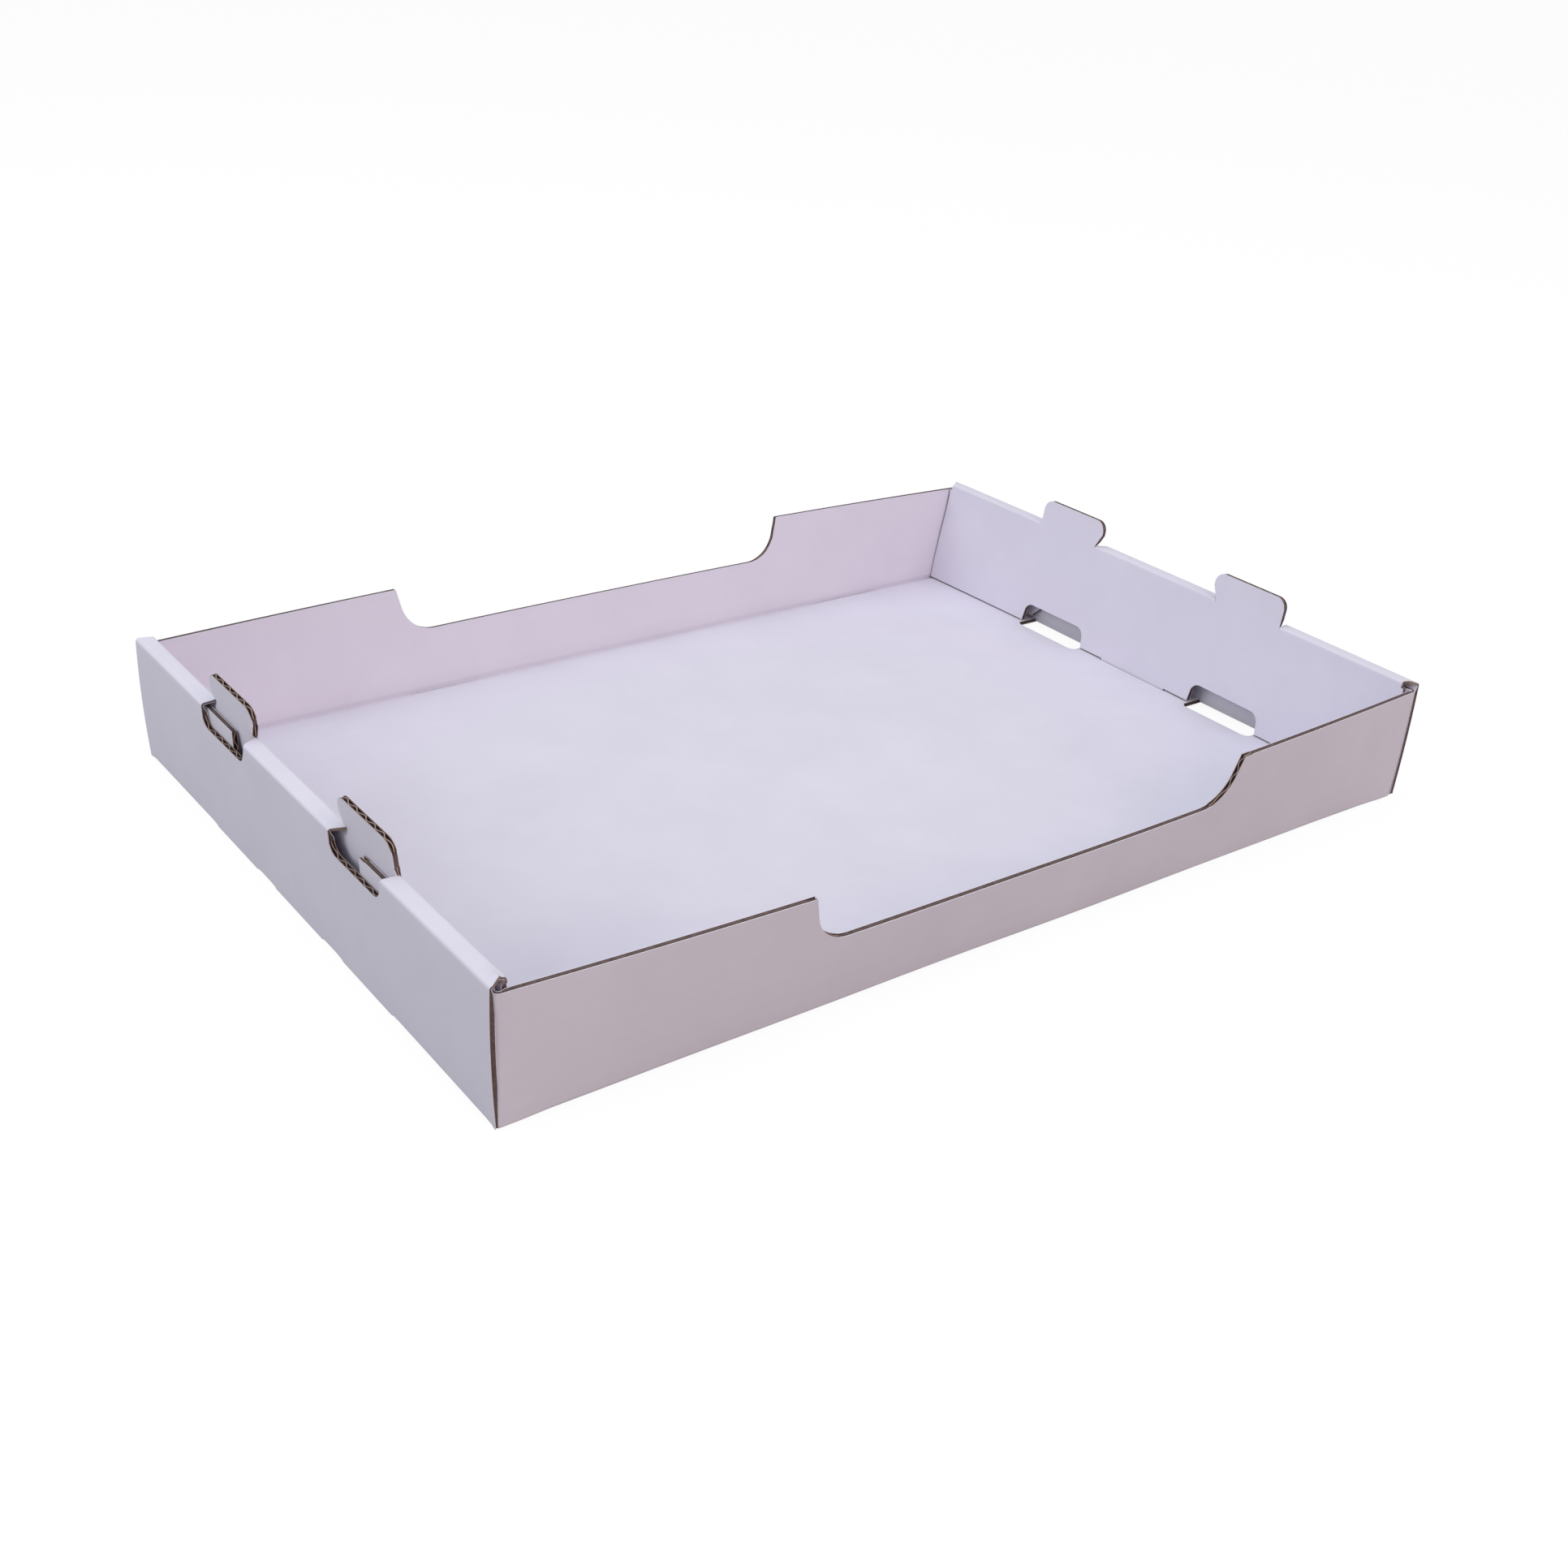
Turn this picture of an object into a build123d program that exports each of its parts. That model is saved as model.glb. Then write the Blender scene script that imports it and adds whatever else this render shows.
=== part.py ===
from build123d import *
import math
import os

# A shallow stacking tray folded from one die-cut sheet of corrugated board.
# The floor lies on Z = 0, X runs along the long walls and Y across them.
# Every panel belongs to the same sheet, so the tray is one solid.

# Overall sizes, in millimetres
length = 400.0
width = 272.0
end_height = 49.0
board = 2.0

# Folds: radius inside an ordinary bend, outside the two top folds of each end,
# and outside the folds at the feet of the long walls
fold_radius = 0.5
crest_round = 1.2
fold_round = 1.8

# Rolled-over ends: outer panel, pressed top strip and inner panel with a flap between.
# The outer panel hangs to a small height above the ground where the fold is cut away.
# Each end leans out by its own amount at the top.
layer_gap = 0.25
strip_board = 1.0
strip_rise = 0.5
foot_slack = 3.0
foot_gap = 0.3
left_foot = 0.3
right_foot = 0.9
left_lean = 2.0
right_lean = 3.3
strip_width = 3 * board + 2 * layer_gap

# Long walls, each bowed and leaning outwards at its top, and the corner flaps on their ends
rim_clearance = 1.0
near_bow = 6.5
near_lean = 1.2
far_bow = 7.5
far_lean = 0.3
flap_length = 87.0
flap_lift = 1.0
side_gap = 0.4
side_height = end_height - board - rim_clearance

# Lowered middle of each long wall
scoop_width = 187.8
scoop_depth = 18.7
scoop_lean = 12.0
scoop_radius = 13.8

# Stacking tabs, each narrowed at its foot on one side, and the windows that they leave
tab_offset = 52.0
tab_width = 37.3
tab_height = 11.4
tab_hook = 2.8
tab_flare = 5.4
hook_radius = 1.4
tab_radius = 4.7
cut_clearance = 0.25
sill_drop = 8.1

# Notches in the inner panel and the slots in the floor below them
notch_foot = 38.6
notch_top = 36.4
notch_height = 9.0
notch_radius = 4.5
notch_clearance = 1.5
slot_width = 37.0
slot_reach = 4.1
slot_radius = 3.0

# Tab in the middle of the inner panel that locks into the floor
lock_width = 38.0
lock_radius = 1.5
lock_clearance = 0.5

# Worked out from the sizes above
half_length = length / 2
half_width = width / 2
bend = fold_radius + board
flap_face = half_length - board - layer_gap
wall_end = flap_face - bend
inner_face = half_length - strip_width - foot_slack
corner_start = half_width - bend
tab_centre_side = tab_offset - tab_width / 2
tab_outer_side = tab_offset + tab_width / 2


def panel_corners(lean):
    """Corners of the outside of a rolled-over end, from the floor to the foot of the inner panel."""
    floor_start = Vector(wall_end, 0, 0)
    foot = Vector(half_length, 0, 0)
    outer_fold = Vector(half_length + lean, 0, end_height - strip_rise)
    inner_fold = Vector(half_length + lean - strip_width, 0, end_height)
    inner_foot = Vector(inner_face, 0, board + foot_gap)
    return floor_start, foot, outer_fold, inner_fold, inner_foot


def inward(start, end):
    """Direction from the outside of a panel to its inside, square to its section line."""
    along = (end - start).normalized()
    return Vector(-along.Z, 0, along.X)


def inside_corner(before, corner, after, thickness_before, thickness_after):
    """Corner of the inside line where two panels of given thickness meet."""
    first = inward(before, corner)
    second = inward(corner, after)
    share = 1 - first.dot(second) ** 2
    along_first = (thickness_before - thickness_after * first.dot(second)) / share
    along_second = (thickness_after - thickness_before * first.dot(second)) / share
    return corner + first * along_first + second * along_second


def rolled_band(lean):
    """Fold, outer panel, top strip and inner fold as one bent band."""
    floor_start, foot, outer_fold, inner_fold, inner_foot = panel_corners(lean)
    leg_share = (end_height - side_height - side_gap) / (end_height - board - foot_gap)
    leg_end = inner_fold + (inner_foot - inner_fold) * leg_share
    inside = [
        floor_start + Vector(0, 0, board),
        inside_corner(floor_start, foot, outer_fold, board, board),
        inside_corner(foot, outer_fold, inner_fold, board, strip_board),
        inside_corner(outer_fold, inner_fold, inner_foot, strip_board, board),
        leg_end + inward(inner_fold, inner_foot) * board,
    ]
    outside = [floor_start, foot, outer_fold, inner_fold, leg_end]
    outer_line = FilletPolyline(*[(p.X, p.Z) for p in outside], radius=[bend, crest_round, crest_round])
    inner_line = FilletPolyline(*[(p.X, p.Z) for p in inside], radius=[fold_radius] * 3)
    ends = [Line(outer_line @ 0, inner_line @ 0), Line(outer_line @ 1, inner_line @ 1)]
    return across_tray(make_face([outer_line, inner_line] + ends), -half_width, half_width)


def across_tray(outline, start, end):
    """An outline in X and Z made solid from one Y to another."""
    return extrude(Pos(0, start, 0) * (Plane.XZ * outline), amount=-(end - start))


def open_stretches():
    """Stretches of Y where floor and outer panel are parted, so that the panel hangs straight."""
    lock_side = lock_width / 2 + lock_clearance
    slot_side = slot_width / 2
    slot = (tab_offset - slot_side, tab_offset + slot_side)
    corner = (corner_start - layer_gap, half_width)
    mirrored = [(-end, -start) for start, end in (slot, corner)]
    return [(-lock_side, lock_side), slot, corner] + mirrored


def straight_foot(lean, foot_height):
    """Section of the outer panel's foot where no fold holds it."""
    _, foot, outer_fold, _, _ = panel_corners(lean)
    upward = (outer_fold - foot) * (1 / (outer_fold.Z - foot.Z))
    outside = [foot + upward * foot_height, foot + upward * (bend + board)]
    inside = [p + inward(foot, outer_fold) * board for p in reversed(outside)]
    return make_face(Polyline(*[(p.X, p.Z) for p in outside + inside], close=True))


def fold_cut():
    """Section of the fold that is taken away where floor and outer panel are parted."""
    reach = half_length + board
    corners = [(wall_end, -board), (reach, -board), (reach, bend), (wall_end, bend)]
    return make_face(Polyline(*corners, close=True))


def tab_outline(start, fold):
    """Flat outline of one stacking tab, from below the fold to its rounded top."""
    top = fold + tab_height
    foot = tab_centre_side + tab_hook
    edge = FilletPolyline(
        (foot, start), (foot, fold), (tab_centre_side, fold + tab_flare), (tab_centre_side, top),
        (tab_outer_side, top), (tab_outer_side, start),
        radius=[hook_radius, hook_radius, tab_radius, tab_radius],
    )
    return make_face([edge, Line((tab_outer_side, start), (foot, start))])


def notch_outline():
    """Opening at the foot of the inner panel that clears the tab of the tray below."""
    foot = notch_foot / 2
    top = notch_top / 2
    shape = Polygon(
        (-foot, -board), (foot, -board), (top, notch_height), (-top, notch_height), align=None
    )
    upper = shape.vertices().group_by(Axis.Y)[-1]
    return fillet(upper, notch_radius)


def lock_outline():
    """Tab that reaches from the inner panel down into the floor."""
    tongue = Pos(0, -board / 2) * Rectangle(lock_width, board)
    lower = tongue.vertices().group_by(Axis.Y)[0]
    return fillet(lower, lock_radius)


def inner_panel(lean):
    """Flat inner panel with its stacking tabs, notches and locking tab."""
    inner_fold, foot = panel_corners(lean)[3:]
    fold = (inner_fold - foot).length
    leg = fold * (side_height + side_gap - foot.Z) / (inner_fold.Z - foot.Z)
    panel_width = width - 2 * board - 2 * side_gap
    outline = Pos(0, leg / 2) * Rectangle(panel_width, leg)
    outline += lock_outline()
    tab = tab_outline(leg, fold)
    outline += tab + mirror(tab, about=Plane.YZ)
    for side in (-1, 1):
        outline -= Pos(side * tab_offset, 0) * notch_outline()
    plane = Plane(origin=foot, x_dir=(0, 1, 0), z_dir=inward(inner_fold, foot))
    return extrude(plane * outline, amount=board)


def window_cut(lean):
    """Opening that one tab leaves in the outer panel, below the top strip."""
    sill = end_height - strip_rise - sill_drop
    low = tab_centre_side - cut_clearance
    high = tab_outer_side + cut_clearance
    top = end_height + board
    shape = Polygon((low, sill), (high, sill), (high, top), (low, top), align=None)
    shape = fillet(shape.vertices().group_by(Axis.Y)[0], tab_radius)
    inside = half_length - board - layer_gap / 2
    plane = Plane(origin=(inside, 0, 0), x_dir=(0, 1, 0), z_dir=(1, 0, 0))
    return extrude(plane * shape, amount=board + layer_gap + lean + board)


def strip_cut(lean):
    """Opening that one tab leaves in the top strip, as wide as the tab is at each place."""
    outside = half_length + lean
    inside = outside - strip_width
    foot = tab_centre_side + tab_hook - cut_clearance
    low = tab_centre_side - cut_clearance
    high = tab_outer_side + cut_clearance
    bottom = end_height - board - bend
    shape = Polygon(
        (inside - board, foot), (inside, foot), (outside, low), (outside + board, low),
        (outside + board, high), (inside - board, high), align=None,
    )
    return extrude(Pos(0, 0, bottom) * shape, amount=end_height)


def end_wall(lean, foot_height):
    """One end of the tray, on the side of positive X."""
    band = rolled_band(lean)
    for start, end in open_stretches():
        band -= across_tray(fold_cut(), start, end)
        band += across_tray(straight_foot(lean, foot_height), start, end)
    for opening in (window_cut(lean), strip_cut(lean)):
        band -= opening
        band -= mirror(opening, about=Plane.XZ)
    return band + inner_panel(lean)


def side_section(height, bow, lean):
    """Plan of a long wall and its two flaps at one height, for the wall at negative Y."""
    share = height / end_height
    outside = -half_width - lean
    right = flap_face + right_lean * share
    left = -(flap_face + left_lean * share)
    flap_end = outside + flap_length
    knee = outside + bend
    edges = [
        Line((left, flap_end), (left, knee)),
        RadiusArc((left, knee), (left + bend, outside), -bend),
        wall_line(left + bend, right - bend, outside, bow),
        RadiusArc((right - bend, outside), (right, knee), -bend),
        Line((right, knee), (right, flap_end)),
        Line((right, flap_end), (right - board, flap_end)),
        Line((right - board, flap_end), (right - board, knee)),
        RadiusArc((right - board, knee), (right - bend, outside + board), fold_radius),
        wall_line(right - bend, left + bend, outside + board, bow),
        RadiusArc((left + bend, outside + board), (left + board, knee), fold_radius),
        Line((left + board, knee), (left + board, flap_end)),
        Line((left + board, flap_end), (left, flap_end)),
    ]
    return Pos(0, 0, height) * make_face(edges)


def wall_line(start, end, offset, bow):
    """Straight or outward-bowed run of a long wall in plan."""
    if bow == 0:
        return Line((start, offset), (end, offset))
    return ThreePointArc((start, offset), ((start + end) / 2, offset - bow), (end, offset))


def scoop_cut():
    """Outline of the lowered middle of a long wall, cut across the whole tray."""
    half = scoop_width / 2
    inset = scoop_depth * math.tan(math.radians(scoop_lean))
    bottom = side_height - scoop_depth
    top = side_height + board
    path = FilletPolyline(
        (-half, side_height), (-half + inset, bottom), (half - inset, bottom), (half, side_height),
        radius=scoop_radius,
    )
    lid = Polyline((half, side_height), (half, top), (-half, top), (-half, side_height))
    return extrude(Plane.XZ * make_face([path, lid]), amount=width, both=True)


def flap_relief():
    """Space under the flaps' free ends that the tabs of the tray below come up into."""
    reach = tab_offset + notch_foot / 2 + notch_clearance
    top = board + foot_gap + notch_height + notch_clearance
    shape = Polygon((-reach, 0), (reach, 0), (reach - top, top), (top - reach, top), align=None)
    return extrude(Plane.YZ * shape, amount=length, both=True)


def side_wall(bow, lean):
    """One long wall with its corner flaps, on the side of negative Y."""
    wall = loft([side_section(0, 0, 0), side_section(side_height, bow, lean)], ruled=True)
    lift = board + flap_lift
    block = Box(length, 2 * width, lift)
    ends = [Pos(side * (wall_end + half_length), 0, lift / 2) * block for side in (-1, 1)]
    corner_height = lift - left_foot
    corner = Pos(0, -(corner_start + bend), left_foot + corner_height / 2)
    corners = wall & (corner * Box(2 * length, 2 * bend, corner_height))
    for end in ends:
        wall -= end
    outer_edge = wall.edges().filter_by(Axis.X).group_by(Axis.Z)[0].sort_by(Axis.Y)[0]
    wall = fillet(outer_edge, fold_round)
    for end in ends:
        wall += corners & end
    middle = Box(2 * wall_end, 2 * width, 2 * length)
    return wall - (flap_relief() - middle) - scoop_cut()


def floor_slots():
    """The two stacking slots and the locking slot at one end of the floor."""
    start = inner_face - slot_reach
    depth = half_length - start
    slot = Pos(start + depth / 2, 0) * Rectangle(depth, slot_width)
    slot = fillet(slot.vertices().group_by(Axis.X)[0], slot_radius)
    lock_start = inner_face - lock_clearance
    lock_depth = half_length - lock_start
    lock = Pos(lock_start + lock_depth / 2, 0) * Rectangle(lock_depth, lock_width + 2 * lock_clearance)
    plan = lock + Pos(0, tab_offset) * slot + Pos(0, -tab_offset) * slot
    return extrude(plan, amount=2 * board, both=True)


def floor_panel():
    """Floor between the folds, reaching half way into the long walls."""
    floor = Pos(0, 0, board / 2) * Box(2 * wall_end, width - board, board)
    slots = floor_slots()
    return floor - slots - mirror(slots, about=Plane.YZ)


def tray():
    """The folded tray, set so that the middle of its foot is the origin."""
    near_wall = side_wall(near_bow, near_lean)
    far_wall = mirror(side_wall(far_bow, far_lean), about=Plane.XZ)
    right_end = end_wall(right_lean, right_foot)
    left_end = mirror(end_wall(left_lean, left_foot), about=Plane.YZ)
    body = floor_panel() + near_wall + far_wall + right_end + left_end
    return Pos((left_lean - right_lean) / 2, 0, 0) * body


os.makedirs("parts", exist_ok=True)
export_step(tray(), "parts/tray.step")
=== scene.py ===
import math

import bmesh
import bpy
import numpy as np
from mathutils import Matrix, Vector
from mathutils.geometry import delaunay_2d_cdt


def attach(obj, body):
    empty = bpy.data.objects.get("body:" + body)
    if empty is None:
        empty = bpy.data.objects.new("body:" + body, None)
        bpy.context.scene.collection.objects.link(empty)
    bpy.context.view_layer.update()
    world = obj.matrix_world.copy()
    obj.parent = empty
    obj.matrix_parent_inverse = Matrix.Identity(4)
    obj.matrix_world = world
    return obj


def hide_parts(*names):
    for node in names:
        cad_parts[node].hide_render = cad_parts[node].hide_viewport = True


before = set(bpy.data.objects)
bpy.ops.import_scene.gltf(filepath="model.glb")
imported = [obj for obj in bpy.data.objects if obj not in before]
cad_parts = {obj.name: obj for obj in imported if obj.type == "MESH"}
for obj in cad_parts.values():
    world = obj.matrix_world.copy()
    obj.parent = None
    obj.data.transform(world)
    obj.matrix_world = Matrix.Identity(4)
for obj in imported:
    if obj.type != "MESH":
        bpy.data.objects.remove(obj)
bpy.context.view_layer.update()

# Millimetres to metres
MM = 0.001

# Sizes of the folded sheet, in millimetres, as the solid has them
length = 400.0
width = 272.0
end_height = 49.0
board = 2.0
fold_radius = 0.5
crest_round = 1.2
layer_gap = 0.25
strip_board = 1.0
strip_rise = 0.5
foot_slack = 3.0
foot_gap = 0.3
leans = {1: 3.3, -1: 2.0}
strip_width = 3 * board + 2 * layer_gap
rim_clearance = 1.0
near_bow = 6.5
near_lean = 1.2
far_bow = 7.5
far_lean = 0.3
flap_length = 87.0
flap_lift = 1.0
side_gap = 0.4
side_height = end_height - board - rim_clearance
scoop_width = 187.8
scoop_depth = 18.7
scoop_lean = 12.0
scoop_radius = 13.8
tab_offset = 52.0
tab_width = 37.3
tab_height = 11.4
tab_hook = 2.8
tab_flare = 5.4
hook_radius = 1.4
tab_radius = 4.7
cut_clearance = 0.25
sill_drop = 8.1
notch_foot = 38.6
notch_top = 36.4
notch_height = 9.0
notch_radius = 4.5
slot_width = 37.0
slot_reach = 4.1
slot_radius = 3.0
lock_width = 38.0
lock_radius = 1.5
lock_clearance = 0.5

# How high the outer panels' free feet hang above the ground, a little lower than in the solid
foot_heights = {1: 0.5, -1: 0.1}

# How the sheet gives: outer radii of the folds at the feet, and how far their change reaches
wall_round = 1.5
end_round = 1.3
slot_round = 1.0
free_round = 0.2
round_reach = 4.0
free_reach = 1.0
pinched_round = 0.7
pinch_reach = 14.0

# Each end stands further out in its middle than at its corners, at the top and at the inner foot,
# and its corners stand out at their feet and halfway up
top_bulges = {1: 1.2, -1: 0.3}
foot_bulges = {1: 2.4, -1: 1.0}
foot_outs = {1: 0.8, -1: 0.5}
belly = 0.65
corner_low = 192.0
corner_ramp = 6.0
end_power = 6

# How far the corner fold of a long wall stands out over the end's cut edge: at its foot, at its rim,
# and how much less in between, with the stretches in which it sets in and fades out
cover_lows = {1: 0.0, -1: 1.7}
cover_highs = {1: 0.0, -1: 1.3}
cover_dips = {1: 0.0, -1: 1.0}
cover_rise = 1.0
cover_start = 4.0
cover_fade = 7.0

# Corners of the flat sheet's ends: the notch between floor and flap, how far the outer panels reach
# towards the long walls and the height that divides that edge, and how far the top strips reach
corner_cut = 1.16
corner_reach = 135.9
corner_rise = 40.0
strip_ends = {1: 132.4, -1: 134.0}

# The near ends of the top strips stand up in a low ridge
roof_height = {1: 0.5, -1: 1.4}
roof_share = 0.63
roof_reach = 12.0

# Corners of the windows and how much shorter their sills are on the near side, and the foot of each
# flap that clears the floor's slots
sill_inset = 3.0
root_radius = 0.7
shoulder_radius = 1.2
relief_low = 69.8
relief_top = 60.0
relief_height = 12.8

# Where the board is pressed thin: beside the top folds, in the corner folds and along the long walls' feet
strip_ramp = 3.0
crease_board = 1.3
crease_ramp = 1.5
foot_ramp = 2.5

# How far the inner panels' feet are cut short of the floor, but for their locking tabs
foot_lift = 0.4

# The floor cuts and notches of the right end sit a little towards the near side
cut_shifts = {1: -1.8, -1: 0.0}

# Gentle unevenness of the sheet: its height, its long and short waves, and where it fades out
ripple_height = 0.13
ripple_base = 1.6
wave_along = 31.0
wave_across = 37.0
wave_phase = 0.8
sway = 0.6
sway_across = 23.0
short_share = 0.6
short_along = 17.0
short_across = 29.0
short_phase = 1.7
ripple_clear = 6.0
ripple_fade = 40.0
rim_fade = 60.0
rim_share = 0.2

# Worked out from the sizes above
half_length = length / 2
half_width = width / 2
bend = fold_radius + board
quarter = bend * math.pi / 2
wall_quarter = wall_round * math.pi / 2
flap_face = half_length - board - layer_gap
wall_end = flap_face - bend
corner_start = half_width - bend
floor_half = half_width - wall_round
inner_face = half_length - strip_width - foot_slack
panel_half = half_width - board - side_gap
tab_centre_side = tab_offset - tab_width / 2
tab_outer_side = tab_offset + tab_width / 2
frame_shift = (leans[-1] - leans[1]) / 2

# Board section: liner and fluting paper, flute pitch and how deep the cut edges are hollow
liner = 0.24
medium = 0.4
flute_pitch = 6.2
flute_gap = 0.03
pocket_depth = 2.4
pocket_along = 0.12
medium_recess = 0.12
recess_along = 0.4

# How unevenly the flutes are crushed, and how squarely a cut has to cross them to show them
crush_share = 0.08
crush_across = 0.9
crush_along = 0.4
least_crossing = 0.3

# How finely outlines, bends and flat areas are divided
step_across = 0.5
step_along = 4.0
arc_step = 0.5
grid_step = 6.0
grid_margin = 1.5
grid_block = 500
bend_steps = 10
crest_steps = 6
press_steps = 3
fade_steps = 5
foot_step = 1.0
root_step = 1.5
lines_clear = 0.1
overshoot = 1.0

# Small amounts: for slopes, for lines and points that count as one, for whole counts and for slivers
probe = 0.001
line_slack = 0.01
point_slack = 1e-5
count_slack = 1e-6
least_area = 1e-9
merge_distance = 0.003 * MM

# The camera: lens and place in millimetres, before the shift to the shared frame, and angles in degrees
camera_lens = 43.15
camera_place = (-401.39, -515.01, 332.66)
camera_heading = -37.960
camera_pitch = -27.261
camera_roll = 3.581


def smooth(share):
    """An even rise from 0 to 1 as the share goes from 0 to 1."""
    share = np.clip(share, 0, 1)
    return share * share * (3 - 2 * share)


class FoldPath:
    """Outside line of a folded panel, straight runs joined by arcs, measured along its length."""

    def __init__(self, corners, radii):
        points = [np.array(corner, float) for corner in corners]
        self.runs = []
        self.start = 0.0
        here = points[0]
        for before, corner, after, radius in zip(points, points[1:], points[2:], radii):
            heading = math.atan2(*(corner - before)[::-1])
            turn = math.atan2(*(after - corner)[::-1]) - heading
            turn = (turn + math.pi) % (2 * math.pi) - math.pi
            trim = radius * math.tan(abs(turn) / 2)
            arc_start = corner - trim * np.array([math.cos(heading), math.sin(heading)])
            self.add(here, heading, 0.0, np.linalg.norm(arc_start - here))
            self.add(arc_start, heading, math.copysign(1 / radius, turn), radius * abs(turn))
            heading += turn
            here = corner + trim * np.array([math.cos(heading), math.sin(heading)])
        heading = math.atan2(*(points[-1] - here)[::-1])
        self.add(here, heading, 0.0, np.linalg.norm(points[-1] - here))
        self.breaks = [run[0] for run in self.runs] + [self.start]

    def add(self, point, heading, curvature, run_length):
        self.runs.append((self.start, point, heading, curvature))
        self.start += run_length

    def at(self, distance):
        """Points of the line at these distances along it, past its ends too."""
        across = np.empty_like(distance)
        up = np.empty_like(distance)
        index = np.searchsorted([run[0] for run in self.runs], distance, side="right") - 1
        index = np.clip(index, 0, None)
        for i, (start, point, heading, curvature) in enumerate(self.runs):
            mask = index == i
            ahead = distance[mask] - start
            if curvature == 0:
                across[mask] = point[0] + ahead * math.cos(heading)
                up[mask] = point[1] + ahead * math.sin(heading)
            else:
                angle = heading + curvature * ahead
                across[mask] = point[0] + (np.sin(angle) - math.sin(heading)) / curvature
                up[mask] = point[1] - (np.cos(angle) - math.cos(heading)) / curvature
        return across, up


def end_path(lean):
    """Path of one end of the sheet, from the middle of the floor to the foot of the inner panel."""
    corners = [
        (0.0, 0.0),
        (half_length, 0.0),
        (half_length + lean, end_height - strip_rise),
        (half_length + lean - strip_width, end_height),
        (inner_face, board + foot_gap),
    ]
    return FoldPath(corners, [bend, crest_round, crest_round])


# The runs of each path: 0 floor, 1 fold at the foot, 2 outer panel, 3 outer crest, 4 top strip,
# 5 inner crest and 6 inner panel. A break has the number of the run that starts there, and 7 is the end.
paths = {sign: end_path(lean) for sign, lean in leans.items()}


def by_end(u, values):
    """The value that belongs to the end on each point's side."""
    return np.where(u >= 0, values[1], values[-1])


def open_stretches(sign):
    """Stretches across the sheet where floor and outer panel are parted."""
    shift = cut_shifts[sign]
    lock = lock_width / 2 + lock_clearance
    slot = slot_width / 2
    middles = [(0, lock), (tab_offset, slot), (-tab_offset, slot)]
    stretches = [(middle - half + shift, middle + half + shift) for middle, half in middles]
    return stretches + [(corner_start, length), (-length, -corner_start)]


def fold_rounds(v, sign):
    """Outer radius of the fold at the foot of one end: widest where it is held, sharp at the cuts."""
    gap = np.full(len(v), length)
    for start, end in open_stretches(sign):
        gap = np.minimum(gap, np.maximum(start - v, v - end))
    held = slot_round + (end_round - slot_round) * smooth(gap / round_reach)
    return held - (slot_round - free_round) * smooth(-gap / free_reach)


def fold(share, full, radius, turn):
    """Points round a fold of a smaller radius than its full one, in the same stretch of sheet.

    They are measured from the sharp corner that both radii round off.
    """
    spare = (full - radius) * math.tan(turn / 2)
    ahead = share * (2 * spare + radius * turn) - spare
    angle = np.clip(ahead / radius, 0, turn)
    before = np.minimum(ahead, 0)
    after = np.maximum(ahead - radius * turn, 0)
    across = before - radius * math.tan(turn / 2) + radius * np.sin(angle)
    return across + after * math.cos(turn), radius * (1 - np.cos(angle)) + after * math.sin(turn)


def free_edge(sign):
    """Distance along an end path at which the outer panel ends where no fold holds it."""
    path = paths[sign]
    first, last = path.breaks[1:3]
    turn = path.runs[2][2]
    whole = 2 * (bend - free_round) * math.tan(turn / 2) + free_round * turn
    hanging = bend * math.tan(turn / 2) - foot_heights[sign] / math.sin(turn)
    return first + (last - first) * (1 - hanging / whole)


def settled(x, y, z):
    """The ends' gentle give: out in their middles, and bellied and spread at the foot at the corners."""
    rise = z / end_height
    low = np.clip(1 - rise, 0, 1)
    across = (y / half_width) ** 2
    near_end = (np.abs(x) / half_length) ** end_power
    outer = smooth((np.abs(x) - corner_low) / corner_ramp)
    give = (belly * 4 * rise + by_end(x, foot_outs)) * low * outer - by_end(x, top_bulges) * rise
    return np.stack([x + np.sign(x) * give * across * near_end, y, z], axis=1)


def ridge(sign, distance, v):
    """Height of the low ridge that the near end of a top strip stands up in."""
    start, stop = paths[sign].breaks[4:6]
    share = (distance - start) / (stop - start)
    slope = np.clip(np.minimum(share / roof_share, (1 - share) / (1 - roof_share)), 0, 1)
    return roof_height[sign] * slope * smooth(1 - (v + half_width) / roof_reach)


def end_chain(u, v):
    """Floor, outer panels, top strips and inner folds of the flat sheet, folded up."""
    x = np.empty_like(u)
    z = np.empty_like(u)
    for sign, path in paths.items():
        mask = (u >= 0) == (sign > 0)
        distance = np.abs(u[mask])
        across, up = path.at(distance)
        first, last = path.breaks[1:3]
        foot = (distance > first) & (distance < last)
        share = (distance[foot] - first) / (last - first)
        inward, up[foot] = fold(share, bend, fold_rounds(v[mask][foot], sign), path.runs[2][2])
        across[foot] = half_length + inward
        x[mask] = sign * across
        z[mask] = up + ridge(sign, distance, v[mask])
    return settled(x, v, z)


def inner_chain(sign):
    """The plane of one inner panel, with the tabs that stand above its fold."""
    path = paths[sign]
    start, point, heading = path.runs[-1][:3]
    panel_length = path.breaks[7] - start

    def chain(u, v):
        ahead = np.abs(u) - start
        x = point[0] + ahead * math.cos(heading)
        x -= foot_bulges[sign] * smooth(ahead / panel_length) * (v / half_width) ** 2
        z = point[1] + ahead * math.sin(heading)
        return settled(sign * x, v, z)

    return chain


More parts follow.
